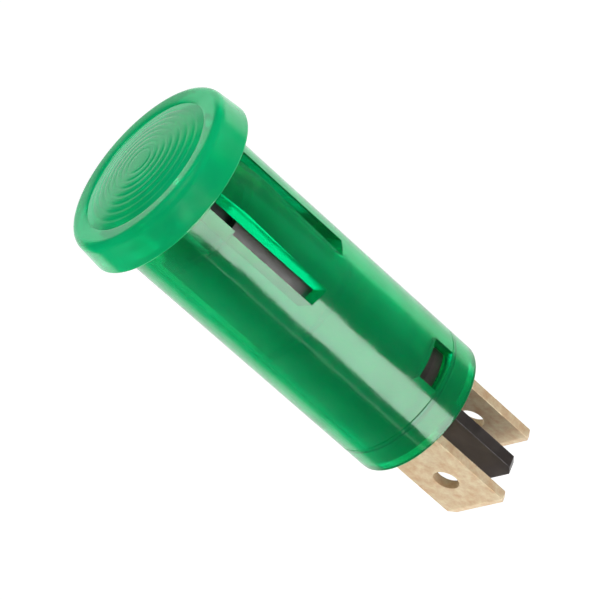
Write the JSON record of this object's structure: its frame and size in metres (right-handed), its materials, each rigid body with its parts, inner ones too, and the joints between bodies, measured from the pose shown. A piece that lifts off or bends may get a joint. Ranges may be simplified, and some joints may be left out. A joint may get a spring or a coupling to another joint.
{
  "type": "panel pilot light",
  "caption": "Snap-in panel pilot light with a domed lens moulded on its barrel, snap fingers, a black lamp carrier with a barrier, and brass blade terminals.",
  "frame": {"origin": "centre of the panel face, the flat ring under the head that bears on the panel", "axes": "+Z out of the panel towards the lens, +Y through a snap finger, +X through the near terminal's flat face"},
  "size_m": [0.0162, 0.016, 0.0409],
  "materials": {
    "green_lens": "glossy translucent green moulding",
    "black_moulding": "satin black moulding",
    "brass_tab": "dull pale brass, as stamped",
    "black_sleeve": "matt black sleeving",
    "clear_glass": "clear glass",
    "nickel": "nickel wire",
    "tinned_wire": "tinned copper wire",
    "insulating_tube": "matt insulating tube",
    "solder": "dull solder",
    "resistor_coat": "lacquered resistor coat"
  },
  "bodies": {
    "root": {"lens_barrel": "green_lens", "lamp_carrier": "black_moulding", "terminal_near": "brass_tab", "terminal_far": "brass_tab", "lamp_sleeve": "black_sleeve", "lamp_glass": "clear_glass", "electrode_near": "nickel", "electrode_far": "nickel", "lamp_lead_near": "tinned_wire", "lamp_lead_far": "tinned_wire", "lead_tube": "insulating_tube", "lead_joint": "solder", "resistor_body": "resistor_coat", "resistor_lead_upper": "tinned_wire", "resistor_lead_lower": "tinned_wire", "solder_near": "solder", "solder_far": "solder"}
  },
  "joints": []
}
